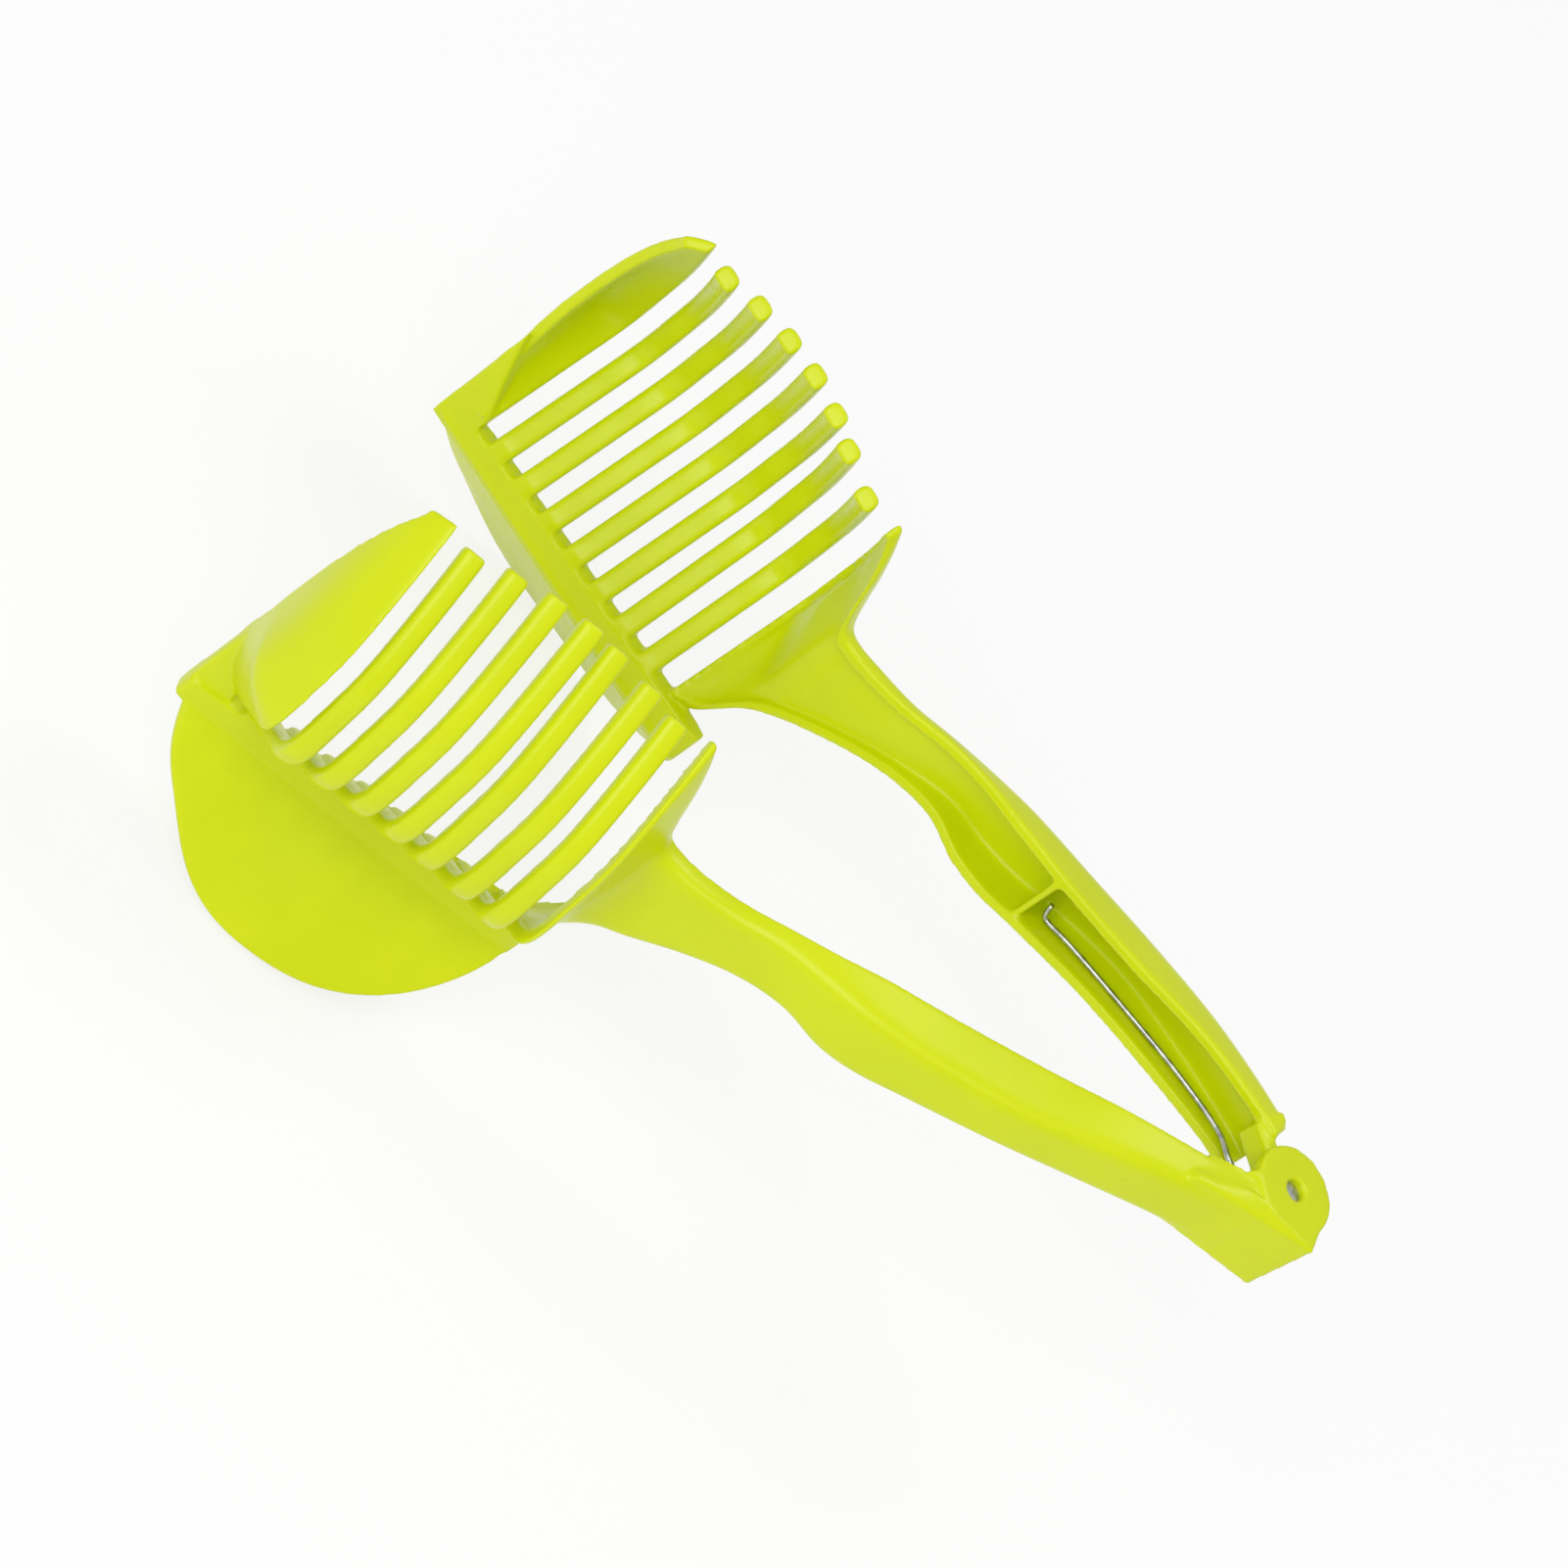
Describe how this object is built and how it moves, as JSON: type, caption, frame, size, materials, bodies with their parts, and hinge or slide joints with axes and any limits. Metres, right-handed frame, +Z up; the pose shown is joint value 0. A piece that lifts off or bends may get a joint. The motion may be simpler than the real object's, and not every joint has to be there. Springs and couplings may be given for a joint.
{
  "type": "egg slicer tongs",
  "caption": "Hand-held egg slicing tongs: two spring-opened comb jaws on one pin, each with a sloping D-shaped scoop plate.",
  "frame": {"origin": "centre of the underside of the bounding box with the tongs at rest, open", "axes": "+X from the comb tips toward the hinge, +Y from the front jaw (spring coil's jaw, with the ears) to the rear jaw, +Z up along the fingers"},
  "size_m": [0.1884, 0.1342, 0.0913],
  "materials": {
    "lime_plastic": "gloss",
    "steel": "polished"
  },
  "bodies": {
    "front": {"front_jaw": "lime_plastic", "hinge_pin": "steel", "spring_front": "steel"},
    "rear": {"rear_jaw": "lime_plastic", "spring_rear": "steel"}
  },
  "joints": [
    {"name": "jaw_hinge", "type": "hinge", "parent": "front", "child": "rear", "pos_m": [0.08455, 0, 0.07778], "axis": [0.0906, 0, 0.9959], "range_deg": [0, 27.4], "stiffness_Nm_per_rad": 0.3, "springref_deg": -34.38}
  ]
}
